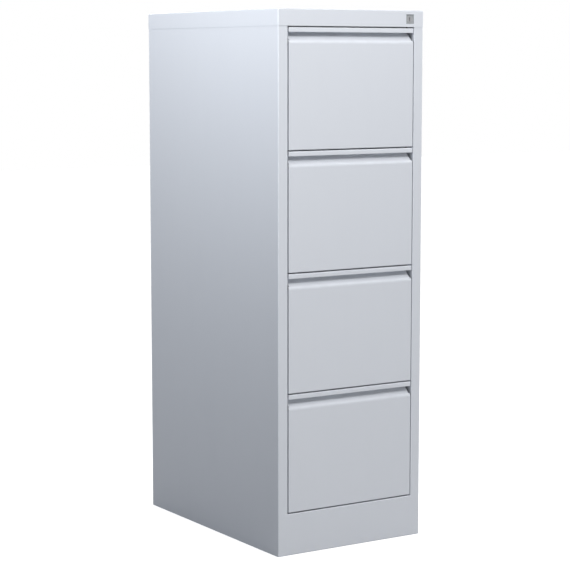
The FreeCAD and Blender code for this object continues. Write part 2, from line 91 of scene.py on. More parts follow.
@dataclass
class Draft:
    """Corners, faces, exact corner normals and edge marks of one mesh in the making; the marks
    drive edge wear, and on the paint also a painted highlight.
    """

    corners: list[Vector] = field(default_factory=list)
    faces: list[list[int]] = field(default_factory=list)
    normals: list[Vector] = field(default_factory=list)
    wear: list[float] = field(default_factory=list)
    places: dict[tuple[int, int, int], int] = field(default_factory=dict)
    weld_step: float = 1e-7

    def corner(self, point: Vector) -> int:
        """Index of a corner, shared with any earlier one at the same place.

        Args:
            point: where the corner is, in metres.

        Returns:
            Its index in the mesh.
        """
        key = tuple(round(value / self.weld_step) for value in point)
        if key not in self.places:
            self.places[key] = len(self.corners)
            self.corners.append(Vector(point))
        return self.places[key]

    def face(
        self, points: Sequence[Vector], normals: Sequence[Vector], wear: Sequence[float] = ()
    ) -> None:
        """Adds one face, wound to agree with its normals.

        Args:
            points: its corners in order, in either direction.
            normals: the surface normal at each corner.
            wear: how worn each corner is, from 0 to 1. Nothing stands for no wear.
        """
        worn = list(wear) or [0.0] * len(points)
        ring: list[tuple[int, Vector, float]] = []
        for point, normal, value in zip(points, normals, worn):
            index = self.corner(point)
            if not ring or ring[-1][0] != index:
                ring.append((index, normal, value))
        if len(ring) > 1 and ring[0][0] == ring[-1][0]:
            ring.pop()
        if len(ring) < 3:
            return
        facing = facing_of([self.corners[index] for index, _, _ in ring])
        if facing.dot(sum((normal for _, normal, _ in ring), Vector())) < 0:
            ring.reverse()
        self.faces.append([index for index, _, _ in ring])
        self.normals.extend(normal for _, normal, _ in ring)
        self.wear.extend(value for _, _, value in ring)

    def flat(self, points: Sequence[Vector], towards: Vector, wear: Sequence[float] = ()) -> None:
        """Adds one flat face.

        Args:
            points: its corners in order.
            towards: any direction on the side that the face looks to.
            wear: how worn each corner is.
        """
        normal = facing_of(points)
        if normal.length == 0.0:
            return
        normal.normalize()
        if normal.dot(towards) < 0:
            normal.negate()
        self.face(points, [normal] * len(points), wear)

    def shell(
        self,
        front: Grid,
        back: Grid,
        wear: list[list[float]],
        absent: Iterable[Cell] = (),
        closed: bool = False,
    ) -> None:
        """Adds sheet between two matching grids of points, with walls round its edges and holes.

        Args:
            front: points on one skin, by row and column.
            back: the points opposite them on the other skin.
            wear: how worn each point is.
            absent: cells of the grid that are cut away.
            closed: whether the last row joins the first.
        """
        rows = len(front) if closed else len(front) - 1
        columns = len(front[0]) - 1
        cut = set(absent)

        def present(i: int, j: int) -> bool:
            """Whether a cell exists and is not cut away."""
            row = i % rows if closed else i
            return 0 <= row < rows and 0 <= j < columns and (row, j) not in cut

        for i in range(rows):
            after = (i + 1) % len(front)
            for j in range(columns):
                if not present(i, j):
                    continue
                ring = [(i, j), (after, j), (after, j + 1), (i, j + 1)]
                outward = [(front[a][b] - back[a][b]).normalized() for a, b in ring]
                worn = [wear[a][b] for a, b in ring]
                self.face([front[a][b] for a, b in ring], outward, worn)
                self.face([back[a][b] for a, b in ring], [-normal for normal in outward], worn)
                middle = sum((front[a][b] + back[a][b] for a, b in ring), Vector()) / 8
                sides = [
                    ((i, j), (after, j), (i, j - 1)),
                    ((after, j), (after, j + 1), (i + 1, j)),
                    ((after, j + 1), (i, j + 1), (i, j + 1)),
                    ((i, j + 1), (i, j), (i - 1, j)),
                ]
                for (a, b), (c, d), neighbour in sides:
                    if present(*neighbour):
                        continue
                    wall = [front[a][b], front[c][d], back[c][d], back[a][b]]
                    self.flat(wall, sum(wall, Vector()) / 4 - middle, [1.0] * 4)

    def mirrored(self) -> "Draft":
        """The same draft on the other side of the cabinet."""
        other = Draft()
        start = 0
        for ring in self.faces:
            span = slice(start, start + len(ring))
            flip = [Vector((-n.x, n.y, n.z)) for n in self.normals[span]]
            points = [self.corners[index] for index in ring]
            points = [Vector((-p.x, p.y, p.z)) for p in points]
            other.face(points, flip, self.wear[span])
            start += len(ring)
        return other

    def to_object(self, name: str, material: bpy.types.Material) -> bpy.types.Object:
        """Makes the Blender object.

        Args:
            name: the piece's name.
            material: its finish.

        Returns:
            The new object, in the scene.
        """
        mesh = bpy.data.meshes.new(name)
        mesh.from_pydata(self.corners, [], self.faces)
        mesh.shade_smooth()
        mesh.normals_split_custom_set(self.normals)
        layer = mesh.attributes.new(WEAR, "FLOAT", "CORNER")
        layer.data.foreach_set("value", self.wear)
        mesh.materials.append(material)
        return place_in_scene(name, mesh)


class Fold(Enum):
    """The axis that every bend line of a folded sheet runs along."""

    ALONG_X = "x"
    ALONG_Y = "y"
    ALONG_Z = "z"

    def place(self, u: float, v: float, w: float) -> Vector:
        """The point at (u, v) in the section and w along the bend lines."""
        if self is Fold.ALONG_X:
            return Vector((w, u, v))
        if self is Fold.ALONG_Y:
            return Vector((u, w, v))
        return Vector((u, v, w))


@dataclass(frozen=True)
class Station:
    """One point along a sheet's section: its two skins and its wear."""

    left: tuple[float, float]
    right: tuple[float, float]
    wear: float


@dataclass(frozen=True)
class FoldedSheet:
    """Sheet metal folded along a path, with true bends and a marked band at each bend and edge,
    for edge wear and, on the paint, a painted highlight.
    """

    thickness: float
    fold: Fold
    wear_reach: float = 3 * MM
    arc_step: float = 0.8 * MM
    arc_turn: float = math.radians(15)
    plain_reaches: float = 2.5

    def stations(
        self, path: Sequence[tuple[float, float]], bends: Sequence[float]
    ) -> list[Station]:
        """Points along the section, close together in its bends.

        Args:
            path: the corners of the middle of the sheet.
            bends: the bend radius at each inner corner, to the middle of the sheet. A radius of
                0 marks a point on a straight stretch.

        Returns:
            The stations from the first end to the last.
        """
        half = self.thickness / 2
        corners = [Vector(point) for point in path]
        marks: list[tuple[Vector, Vector, float]] = []

        def straight(start: Vector, end: Vector) -> None:
            """Two places near the ends of a straight stretch where the wear has died out."""
            run = end - start
            if run.length > self.plain_reaches * self.wear_reach:
                step = run.normalized() * self.wear_reach
                normal = Vector((-run.y, run.x)).normalized()
                marks.append((start + step, normal, 0.0))
                marks.append((end - step, normal, 0.0))

        first = (corners[1] - corners[0]).normalized()
        marks.append((corners[0], Vector((-first.y, first.x)), 1.0))
        here = corners[0]
        for index, radius in enumerate(bends, start=1):
            into = (corners[index] - corners[index - 1]).normalized()
            out = (corners[index + 1] - corners[index]).normalized()
            turn = math.atan2(into.x * out.y - into.y * out.x, into.dot(out))
            reach = radius * math.tan(abs(turn) / 2)
            start = corners[index] - into * reach
            straight(here, start)
            count = max(
                1,
                math.ceil(abs(turn) / self.arc_turn),
                math.ceil(radius * abs(turn) / self.arc_step),
            )
            side = math.copysign(1.0, turn)
            centre = start + Vector((-into.y, into.x)) * radius * side
            if radius == 0.0:
                marks.append((start, Vector((-into.y, into.x)), 0.0))
            else:
                for step in range(count + 1):
                    angle = turn * step / count
                    cosine, sine = math.cos(angle), math.sin(angle)
                    normal = Vector(
                        (-into.y * cosine - into.x * sine, into.x * cosine - into.y * sine)
                    )
                    marks.append((centre - normal * radius * side, normal, 1.0))
            here = corners[index] + out * reach
        straight(here, corners[-1])
        last = (corners[-1] - corners[-2]).normalized()
        marks.append((corners[-1], Vector((-last.y, last.x)), 1.0))
        return [
            Station(tuple(spot + normal * half), tuple(spot - normal * half), wear)
            for spot, normal, wear in marks
        ]

    def add(
        self,
        draft: Draft,
        path: Sequence[tuple[float, float]],
        bends: Sequence[float],
        columns: Sequence[float],
        cut: Callable[[float, float, float], bool] | None = None,
    ) -> None:
        """Folds one sheet into a draft.

        Args:
            draft: what to add to.
            path: the corners of the middle of the sheet in its section.
            bends: the bend radius at each inner corner.
            columns: places along the bend lines, from one end of the sheet to the other.
            cut: tells whether the sheet is cut away at (u, v, w), asked at each cell's middle.
        """
        low, high = columns[0], columns[-1]
        inner = {low + self.wear_reach, high - self.wear_reach}
        inner = {value for value in inner if low < value < high}
        spots = sorted({*columns, *inner})
        stations = self.stations(path, bends)
        front = [[self.fold.place(*item.left, spot) for spot in spots] for item in stations]
        back = [[self.fold.place(*item.right, spot) for spot in spots] for item in stations]
        wear = [
            [1.0 if spot in (low, high) else item.wear for spot in spots] for item in stations
        ]
        absent = []
        if cut is not None:
            for i, (here, there) in enumerate(zip(stations, stations[1:])):
                u = (here.left[0] + here.right[0] + there.left[0] + there.right[0]) / 4
                v = (here.left[1] + here.right[1] + there.left[1] + there.right[1]) / 4
                for j, (start, end) in enumerate(zip(spots, spots[1:])):
                    if cut(u, v, (start + end) / 2):
                        absent.append((i, j))
        draft.shell(front, back, wear, absent)


# ---- Shader node groups ----
@dataclass
class NodeGroup:
    """A shader node group under construction, with named sockets."""

    name: str
    inputs: dict[str, float]
    outputs: Sequence[str]

    def __post_init__(self) -> None:
        """Makes the group and its sockets."""
        self.tree = bpy.data.node_groups.new(self.name, "ShaderNodeTree")
        for label, value in self.inputs.items():
            socket = self.tree.interface.new_socket(
                name=label, in_out="INPUT", socket_type="NodeSocketFloat"
            )
            socket.default_value = value
        for label in self.outputs:
            self.tree.interface.new_socket(
                name=label, in_out="OUTPUT", socket_type="NodeSocketFloat"
            )
        self.entry = self.tree.nodes.new("NodeGroupInput")
        self.exit = self.tree.nodes.new("NodeGroupOutput")

    def node(self, kind: str, **settings: object) -> bpy.types.Node:
        """Adds a node.

        Args:
            kind: the node's type.
            settings: properties to set on it.

        Returns:
            The node.
        """
        made = self.tree.nodes.new(kind)
        for label, value in settings.items():
            setattr(made, label, value)
        return made

    def link(self, source: bpy.types.NodeSocket, target: bpy.types.NodeSocket) -> None:
        """Joins two sockets."""
        self.tree.links.new(source, target)

    def math(self, operation: str, *values: object) -> bpy.types.NodeSocket:
        """Adds a math node.

        Args:
            operation: what it does.
            values: its inputs, each a socket or a number.

        Returns:
            Its output socket.
        """
        made = self.node("ShaderNodeMath", operation=operation)
        for socket, value in zip(made.inputs, values):
            if isinstance(value, bpy.types.NodeSocket):
                self.link(value, socket)
            else:
                socket.default_value = value
        return made.outputs[0]

    def noise(
        self, scale: object, detail: float, stretch: tuple[float, float, float] = (1, 1, 1)
    ) -> bpy.types.NodeSocket:
        """Noise fixed to the piece.

        Args:
            scale: features per metre, a socket or a number.
            detail: how many finer layers it has.
            stretch: how many times finer it is along each axis.

        Returns:
            The noise's value.
        """
        where = self.node("ShaderNodeTexCoord")
        squeeze = self.node("ShaderNodeMapping")
        squeeze.inputs["Scale"].default_value = stretch
        made = self.node("ShaderNodeTexNoise")
        made.inputs["Detail"].default_value = detail
        self.link(where.outputs["Object"], squeeze.inputs["Vector"])
        self.link(squeeze.outputs["Vector"], made.inputs["Vector"])
        if isinstance(scale, bpy.types.NodeSocket):
            self.link(scale, made.inputs["Scale"])
        else:
            made.inputs["Scale"].default_value = scale
        return made.outputs["Fac"]

    def ramp(
        self, value: bpy.types.NodeSocket, start: float, end: float
    ) -> bpy.types.NodeSocket:
        """A value stretched so that start becomes 0 and end becomes 1, smoothly.

        Args:
            value: the value to stretch.
            start: what becomes 0.
            end: what becomes 1.

        Returns:
            The stretched value.
        """
        made = self.node("ShaderNodeMapRange", interpolation_type="SMOOTHSTEP")
        made.inputs["From Min"].default_value = start
        made.inputs["From Max"].default_value = end
        self.link(value, made.inputs["Value"])
        return made.outputs["Result"]


    def masked(self, value: bpy.types.NodeSocket) -> bpy.types.NodeTree:
        """Ends the group with a value, times its Amount, as its Mask."""
        scaled = self.math("MULTIPLY", value, self.entry.outputs["Amount"])
        self.link(scaled, self.exit.inputs["Mask"])
        return self.tree


class Effects:
    """The shader groups that several finishes share."""

    def __init__(self) -> None:
        """Builds every group once."""
        self.orange_peel = self.build_orange_peel()
        self.edge_wear_and_highlight = self.build_edge_wear_and_highlight()
        self.handling = self.build_handling()
        self.dust = self.build_dust()
        self.grain = self.build_grain()

    def build_orange_peel(self) -> bpy.types.NodeTree:
        """Rolling height of sprayed and baked powder: soft dimples with a finer tooth."""
        group = NodeGroup("orange_peel", {"Dimples": 700.0, "Tooth": 0.2}, ["Height"])
        broad = group.noise(group.entry.outputs["Dimples"], 1.0)
        fine_scale = group.math("MULTIPLY", group.entry.outputs["Dimples"], 4.5)
        fine = group.math("MULTIPLY", group.noise(fine_scale, 2.0), group.entry.outputs["Tooth"])
        group.link(group.math("ADD", broad, fine), group.exit.inputs["Height"])
        return group.tree

    def build_edge_wear_and_highlight(self) -> bpy.types.NodeTree:
        """Bends and cut edges: a broken band along them, showing real edge wear and, on the paint,
        a painted highlight.
        """
        group = NodeGroup("edge_wear_and_highlight", {"Amount": 0.5, "Patches": 40.0}, ["Mask"])
        edge = group.node("ShaderNodeAttribute", attribute_name=WEAR)
        sharp = group.math("POWER", edge.outputs["Fac"], 3.0)
        patches = group.ramp(group.noise(group.entry.outputs["Patches"], 4.0), 0.38, 0.62)
        broken = group.math("MULTIPLY", sharp, patches)
        return group.masked(broken)

    def build_handling(self) -> bpy.types.NodeTree:
        """Large soft patches where a surface has been wiped and touched."""
        group = NodeGroup("handling_marks", {"Amount": 0.5}, ["Mask"])
        broad = group.ramp(group.noise(3.2, 3.0), 0.35, 0.7)
        wipes = group.ramp(group.noise(26.0, 4.0, (1.0, 1.0, 0.22)), 0.4, 0.75)
        mixed = group.math("MULTIPLY_ADD", wipes, 0.45, group.math("MULTIPLY", broad, 0.55))
        return group.masked(mixed)

    def build_dust(self) -> bpy.types.NodeTree:
        """Thin dust on what faces up."""
        group = NodeGroup("settled_dust", {"Amount": 0.3}, ["Mask"])
        place = group.node("ShaderNodeNewGeometry")
        parts = group.node("ShaderNodeSeparateXYZ")
        group.link(place.outputs["Normal"], parts.inputs["Vector"])
        upward = group.ramp(parts.outputs["Z"], 0.55, 0.98)
        specks = group.ramp(group.noise(90.0, 6.0), 0.42, 0.72)
        film = group.math("MULTIPLY_ADD", specks, 0.6, 0.4)
        mixed = group.math("MULTIPLY", upward, film)
        return group.masked(mixed)

    def build_grain(self) -> bpy.types.NodeTree:
        """Fine rolling lines along the length of a strip, with a few deeper scratches."""
        group = NodeGroup("rolled_grain", {"Lines": 500.0}, ["Height", "Scratches"])
        lines = group.noise(group.entry.outputs["Lines"], 3.0, (1.0, 0.02, 0.9))
        strokes = group.noise(260.0, 5.0, (1.0, 0.05, 0.6))
        group.link(lines, group.exit.inputs["Height"])
        group.link(group.ramp(strokes, 0.62, 0.74), group.exit.inputs["Scratches"])
        return group.tree


# ---- Finishes ----
Colour = tuple[float, float, float]


@dataclass(frozen=True)
class Finish:
    """What every finish has: its record slot, its colour and how its gloss varies."""

    slot: str
    colour: Colour
    second_colour: Colour
    roughness: tuple[float, float]
    metallic: float = 0.0
    bump: float = 0.1
    bump_depth: float = 0.05 * MM

    def start(self) -> tuple[bpy.types.Material, bpy.types.Node]:
        """A new material and its principled shader, with the finish's plain values set."""
        material = bpy.data.materials.new(self.slot)
        material.use_nodes = True
        shader = material.node_tree.nodes["Principled BSDF"]
        shader.inputs["Metallic"].default_value = self.metallic
        return material, shader

    def group(
        self, material: bpy.types.Material, tree: bpy.types.NodeTree, **values: float
    ) -> bpy.types.Node:
        """Places a shared group in a material.

        Args:
            material: the material.
            tree: the group.
            values: its inputs by name.

        Returns:
            The group node.
        """
        placed = material.node_tree.nodes.new("ShaderNodeGroup")
        placed.node_tree = tree
        for label, value in values.items():
            placed.inputs[label].default_value = value
        return placed

    def close(
        self,
        material: bpy.types.Material,
        shader: bpy.types.Node,
        layers: Sequence[tuple[bpy.types.NodeSocket, Colour]],
        relief: bpy.types.NodeSocket,
    ) -> None:
        """Wires colour, roughness and bump into the shader.

        Args:
            material: the material.
            shader: its principled shader.
            layers: masks and the colours they show over the finish's own. The first mask also
                runs the roughness between the finish's two values.
            relief: the height that raises the surface.
        """
        nodes, links = material.node_tree.nodes, material.node_tree.links
        tone = None
        for mask, colour in layers:
            mix = nodes.new("ShaderNodeMix")
            mix.data_type = "RGBA"
            links.new(mask, mix.inputs[0])
            mix.inputs[6].default_value = (*self.colour, 1.0)
            if tone is not None:
                links.new(tone, mix.inputs[6])
            mix.inputs[7].default_value = (*colour, 1.0)
            tone = mix.outputs[2]
        links.new(tone, shader.inputs["Base Color"])
        spread = nodes.new("ShaderNodeMapRange")
        spread.inputs["To Min"].default_value = self.roughness[0]
        spread.inputs["To Max"].default_value = self.roughness[1]
        links.new(layers[0][0], spread.inputs["Value"])
        links.new(spread.outputs["Result"], shader.inputs["Roughness"])
        bump = nodes.new("ShaderNodeBump")
        bump.inputs["Strength"].default_value = self.bump
        bump.inputs["Distance"].default_value = self.bump_depth
        links.new(relief, bump.inputs["Height"])
        links.new(bump.outputs["Normal"], shader.inputs["Normal"])


@dataclass(frozen=True)
class PowderCoat(Finish):
    """Baked powder paint with orange peel, a little dust, and a lighter band at the bends that is
    partly rubbing and partly a painted highlight.
    """

    dimples: float = 620.0
    coat: float = 0.12
    coat_roughness: float = 0.18
    # Strength and lightness of the edge band: partly real rubbing, partly a painted highlight
    # along the bends.
    wear: float = 0.5
    rubbed_and_highlight_lift: float = 1.05
    dust: float = 0.12
    dust_colour: Colour = (0.62, 0.61, 0.58)

    def material(self, effects: Effects) -> bpy.types.Material:
        """The paint.

        Args:
            effects: the shared shader groups.

        Returns:
            The material.
        """
        material, shader = self.start()
        marks = self.group(material, effects.handling, Amount=1.0)
        edges = self.group(material, effects.edge_wear_and_highlight, Amount=self.wear)
        dust = self.group(material, effects.dust, Amount=self.dust)
        peel = self.group(material, effects.orange_peel, Dimples=self.dimples)
        # Lighter paint at the bends: rubbing, and a painted highlight where the bends catch the
        # light.
        rubbed_and_highlight = tuple(min(1.0, value * self.rubbed_and_highlight_lift) for value in self.colour)
        layers = [
            (marks.outputs["Mask"], self.second_colour),
            (edges.outputs["Mask"], rubbed_and_highlight),
            (dust.outputs["Mask"], self.dust_colour),
        ]
        self.close(material, shader, layers, peel.outputs["Height"])
        shader.inputs["Coat Weight"].default_value = self.coat
        shader.inputs["Coat Roughness"].default_value = self.coat_roughness
        return material


@dataclass(frozen=True)
class RolledSteel(Finish):
    """Zinc-plated or bare steel: rolling lines, scratches and a slightly cloudy plate."""

    lines: float = 500.0
    bump: float = 0.03
    wear: float = 0.8
    scratch_colour: Colour = (0.82, 0.83, 0.84)

    def material(self, effects: Effects) -> bpy.types.Material:
        """The metal.

        Args:
            effects: the shared shader groups.

        Returns:
            The material.
        """
        material, shader = self.start()
        marks = self.group(material, effects.handling, Amount=1.0)
        grain = self.group(material, effects.grain, Lines=self.lines)
        edges = self.group(material, effects.edge_wear_and_highlight, Amount=self.wear)
        layers = [
            (marks.outputs["Mask"], self.second_colour),
            (grain.outputs["Scratches"], self.scratch_colour),
            (edges.outputs["Mask"], self.scratch_colour),
        ]
        self.close(material, shader, layers, grain.outputs["Height"])
        return material


@dataclass(frozen=True)
class Moulded(Finish):
    """Moulded plastic or rubber with a fine sparked texture."""

    tooth: float = 2400.0
    fine_tooth: float = 0.6
    dust: float = 0.4
    lint_share: float = 0.7
    lint_lift: float = 0.18

    def material(self, effects: Effects) -> bpy.types.Material:
        """The moulding.

        Args:
            effects: the shared shader groups.

        Returns:
            The material.
        """
        material, shader = self.start()
        marks = self.group(material, effects.handling, Amount=1.0)
        dust = self.group(material, effects.dust, Amount=self.dust)
        peel = self.group(material, effects.orange_peel, Dimples=self.tooth, Tooth=self.fine_tooth)
        lint = tuple(self.lint_share * part + self.lint_lift for part in self.colour)
        layers = [
            (marks.outputs["Mask"], self.second_colour),
            (dust.outputs["Mask"], lint),
        ]
        self.close(material, shader, layers, peel.outputs["Height"])
        return material


FINISHES: tuple[Finish, ...] = (
    PowderCoat("carcass_paint", (0.690, 0.722, 0.781), (0.680, 0.712, 0.771), (0.30, 0.38)),
    PowderCoat("drawer_paint", (0.690, 0.722, 0.781), (0.680, 0.712, 0.771), (0.30, 0.38)),
    RolledSteel("zinc_rail", (0.62, 0.64, 0.66), (0.52, 0.54, 0.57), (0.36, 0.46), 1.0),
    RolledSteel("bar_steel", (0.46, 0.47, 0.49), (0.36, 0.37, 0.39), (0.32, 0.5), 1.0),
    RolledSteel("rivet_steel", (0.58, 0.59, 0.61), (0.48, 0.49, 0.52), (0.26, 0.4), 1.0),
    RolledSteel(
        "lock_nickel", (0.52, 0.53, 0.55), (0.45, 0.46, 0.48), (0.42, 0.52), 0.5, lines=1500.0
    ),
    Moulded("lock_plastic", (0.40, 0.42, 0.44), (0.36, 0.38, 0.40), (0.42, 0.55), bump=0.2),
    Moulded("guide_nylon", (0.78, 0.77, 0.70), (0.70, 0.69, 0.62), (0.38, 0.5), bump=0.15),
    Moulded("stop_rubber", (0.022, 0.022, 0.023), (0.04, 0.04, 0.042), (0.6, 0.8), bump=0.3),
)


class Workshop:
    """Hands out finishes and puts finished pieces on their bodies."""

    def __init__(self) -> None:
        """Makes every material and learns which body and slot each CAD node has."""
        effects = Effects()
        self.materials = {item.slot: item.material(effects) for item in FINISHES}
        record = frame["record"]
        self.slots = {item["node"]: item["material_slot"] for item in record["subparts"]}
        self.bodies = {
            node: body
            for body, nodes in record["behaviour"]["bodies"].items()
            for node in nodes
        }
        self.replaced: set[str] = set()

    def ease_edges(self, item: bpy.types.Object) -> None:
        """Rounds the sharp edges of a piece a little, as tumbling, plating or paint does."""
        ease = item.modifiers.new("eased_edges", "BEVEL")
        ease.width = EASED_EDGE
        ease.segments = EASED_EDGE_FLATS
        ease.limit_method = "ANGLE"
        ease.angle_limit = SHARP_ANGLE
        ease.use_clamp_overlap = True
        ease.harden_normals = True

    def finish(self, draft: Draft, node: str) -> bpy.types.Object:
        """Turns a draft into the visible piece that stands for a CAD node.

        Args:
            draft: the piece's mesh.
            node: the CAD node.

        Returns:
            The piece.
        """
        slot = self.slots[node]
        piece = draft.to_object(f"{node}.look", self.materials[slot])
        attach(piece, self.bodies[node])
        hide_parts(node)
        self.replaced.add(node)
        LOG.info("%s: %d faces, %s", piece.name, len(draft.faces), slot)
        return piece

    def dress_rest(self) -> None:
        """Gives every CAD node that stays in view its finish."""
        for node, item in frame["nodes"].items():
            if node in self.replaced:
                continue
            item.data.materials.clear()
            item.data.materials.append(self.materials[self.slots[node]])
            self.ease_edges(item)
            LOG.info("%s: kept from the frame, %s", node, self.slots[node])


# ---- Carcass ----
@dataclass
class Carcass:
    """Side panels, cover and plinth."""

    shop: Workshop
    sheet: float = 0.8 * MM
    stile_depth: float = 28 * MM
    stile_lip: float = 16 * MM
    rear_flange: float = 22 * MM
    foot_flange: float = 20 * MM
    corner_bend: float = 1.6 * MM
    tight_bend: float = 1.0 * MM
    cover_radius: float = 2.5 * MM
    cover_steps: int = 6
    lock_hole: float = 23 * MM

    def __post_init__(self) -> None:
        """Reads the planes of the carcass from the frame."""
        side_low, side_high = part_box("side_panel_right")
        _, plinth_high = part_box("plinth")
        self.side_face = side_high.x
        self.opening_half = plinth_high.x
        self.front_face = side_low.y
        self.rear_face = side_high.y
        self.side_top = side_high.z
        self.plinth_top = plinth_high.z
        self.plinth_back = plinth_high.y
        low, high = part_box("lock_barrel")
        self.hole_x, self.hole_z = (
            [(low[axis] + high[axis]) / 2 + sign * self.lock_hole / 2 for sign in (-1, 1)]
            for axis in (0, 2)
        )

    def build(self) -> None:
        """Builds the three kinds of piece."""
        right = self.side_panel()
        self.shop.finish(right, "side_panel_right")
        self.shop.finish(right.mirrored(), "side_panel_left")
        self.shop.finish(self.plinth(), "plinth")
        self.shop.finish(self.cover(), "top_cover")

    def side_panel(self) -> Draft:
        """Side, stile, rear flange and foot flange of the right-hand panel."""
        draft = Draft()
        upright = FoldedSheet(self.sheet, Fold.ALONG_Z)
        half = self.sheet / 2
        front = self.front_face + half
        bend_start = self.opening_half + half + self.tight_bend
        path = [
            (self.side_face - self.rear_flange, self.rear_face - half),
            (self.side_face - half, self.rear_face - half),
            (self.side_face - half, front),
            (bend_start + self.tight_bend, front),
            (self.opening_half + half, front),
            (self.opening_half + half, self.front_face + self.stile_depth - half),
            (self.opening_half + self.stile_lip, self.front_face + self.stile_depth - half),
        ]
        bends = [self.corner_bend, self.corner_bend, 0.0, self.tight_bend, self.tight_bend]

        def beside_plinth(u: float, v: float, w: float) -> bool:
            """Whether this is the stile's return, which stops above the plinth."""
            return w < self.plinth_top and u < bend_start and v < 0.0

        upright.add(draft, path, bends, (0.0, self.plinth_top, self.side_top), beside_plinth)
        filler = [Vector((bend_start, self.front_face, z)) for z in (0.0, self.plinth_top)]
        filler += [Vector((self.opening_half, self.front_face, p.z)) for p in reversed(filler)]
        draft.flat(filler, Vector((0, -1, 0)))
        foot = FoldedSheet(self.sheet, Fold.ALONG_Y)
        inner = self.side_face - self.sheet
        foot.add(
            draft,
            [(self.side_face - self.foot_flange, half), (inner, half)],
            [],
            (self.front_face + self.foot_flange, self.rear_face - 2 * self.sheet),
        )
        return draft

    def plinth(self) -> Draft:
        """Plinth board with a flange folded back at its top and foot."""
        draft = Draft()
        half = self.sheet / 2
        path = [
            (self.plinth_back, half),
            (self.front_face + half, half),
            (self.front_face + half, self.plinth_top - half),
            (self.plinth_back, self.plinth_top - half),
        ]
        FoldedSheet(self.sheet, Fold.ALONG_X).add(
            draft, path, [self.corner_bend] * 2, (-self.opening_half, self.opening_half)
        )
        return draft

    def ring(self, inset: float, radius: float, z: float, steps: int) -> list[Vector]:
        """Points round the cover at one height, with extra ones at the sides of the lock hole.

        Args:
            inset: how far in from the cover's faces.
            radius: the rounding of its upright corners there.
            z: the height.
            steps: how many flats make each rounded corner.

        Returns:
            The points, starting at the right end of the front.
        """
        _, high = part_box("top_cover")
        half_x, half_y = high.x - inset, high.y - inset
        points = []
        for corner, (sign_x, sign_y) in enumerate(((1, -1), (1, 1), (-1, 1), (-1, -1))):
            centre = Vector((sign_x * (half_x - radius), sign_y * (half_y - radius), z))
            start = RIGHT_ANGLE * (corner - 1)
            for step in range(steps + 1):
                angle = start + RIGHT_ANGLE * step / steps
                points.append(centre + radius * Vector((math.cos(angle), math.sin(angle), 0)))
        return points + [Vector((x, -half_y, z)) for x in self.hole_x]

    def cover(self) -> Draft:
        """Cap with rounded edges and a square hole in its front skirt."""
        draft = Draft()
        low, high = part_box("top_cover")
        sill, head = self.hole_z
        shoulder = high.z - self.cover_radius
        rise = FoldedSheet.wear_reach
        levels = [(0.0, low.z, 1.0), (0.0, low.z + rise, 0.0), (0.0, sill, 0.0)]
        levels += [(0.0, head, 0.0), (0.0, shoulder - rise, 0.0)]
        for step in range(self.cover_steps + 1):
            angle = RIGHT_ANGLE * step / self.cover_steps
            levels.append(
                (
                    self.cover_radius * (1 - math.cos(angle)),
                    shoulder + self.cover_radius * math.sin(angle),
                    1.0,
                )
            )
        inner_radius = self.cover_radius - self.sheet
        outer, inner = [], []
        for inset, z, _ in levels:
            round_left = self.cover_radius - inset
            share = round_left / self.cover_radius
            outer.append(self.ring(inset, round_left, z, self.cover_steps))
            inset_in = self.sheet + inner_radius * (1 - share)
            above = max(0.0, z - shoulder)
            z_in = z - above + above * inner_radius / self.cover_radius
            inner.append(self.ring(inset_in, inner_radius * share, z_in, self.cover_steps))
        count = len(outer[0])
        front = [[level[i] for level in outer] for i in range(count)]
        back = [[level[i] for level in inner] for i in range(count)]
        wear = [[value for _, _, value in levels] for _ in range(count)]
        draft.shell(front, back, wear, [(count - 2, 2)], closed=True)
        self.close_top(draft, outer[-1], Vector((0, 0, 1)))
        self.close_top(draft, inner[-1], Vector((0, 0, -1)))
        return draft

    def close_top(self, draft: Draft, ring: list[Vector], towards: Vector) -> None:
        """Fills the cover's top inside a ring, with a marked band round its rim for edge wear and
        a painted highlight.

        Args:
            draft: what to add to.
            ring: the points round the rim.
            towards: the side that the face looks to.
        """
        reach = FoldedSheet.wear_reach
        far = Vector((max(p.x for p in ring) - reach, max(p.y for p in ring) - reach, 0))
        inner = [
            Vector((min(max(p.x, -far.x), far.x), min(max(p.y, -far.y), far.y), p.z)) for p in ring
        ]
        for here, there in zip(range(len(ring)), [*range(1, len(ring)), 0]):
            band = [ring[here], ring[there], inner[there], inner[here]]
            draft.flat(band, towards, [1.0, 1.0, 0.0, 0.0])
        draft.flat(inner, towards)


